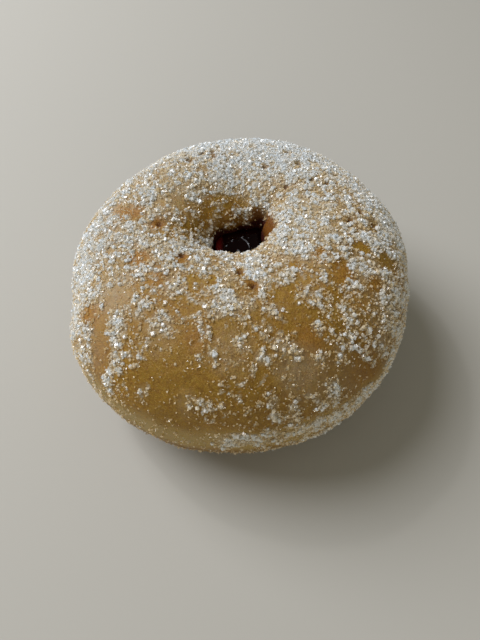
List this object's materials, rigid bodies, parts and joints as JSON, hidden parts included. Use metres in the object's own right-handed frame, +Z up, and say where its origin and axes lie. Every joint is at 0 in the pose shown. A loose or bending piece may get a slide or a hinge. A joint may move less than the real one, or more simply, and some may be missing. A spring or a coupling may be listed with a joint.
{
  "type": "jelly filled doughnut",
  "caption": "Round fried yeast doughnut, sugared all over, with a deep dimple in its crown that shows the dark jelly inside.",
  "frame": {"origin": "on the surface that the doughnut rests on, under the middle of its box", "axes": "+Z up, from the resting base to the dimpled crown; -Y towards the doughnut's front, the side seen nearest in the reference view; +X to that view's right"},
  "size_m": [0.0858, 0.0886, 0.0438],
  "materials": {
    "crust": "fried golden brown yeast dough crust, soft satin, rolled in granulated sugar",
    "jelly": "dark red fruit jelly, wet and glossy",
    "sugar": "granulated white sugar crystals, half clear, on the crust"
  },
  "bodies": {
    "root": {"dough": "crust", "jelly": "jelly"}
  },
  "joints": []
}
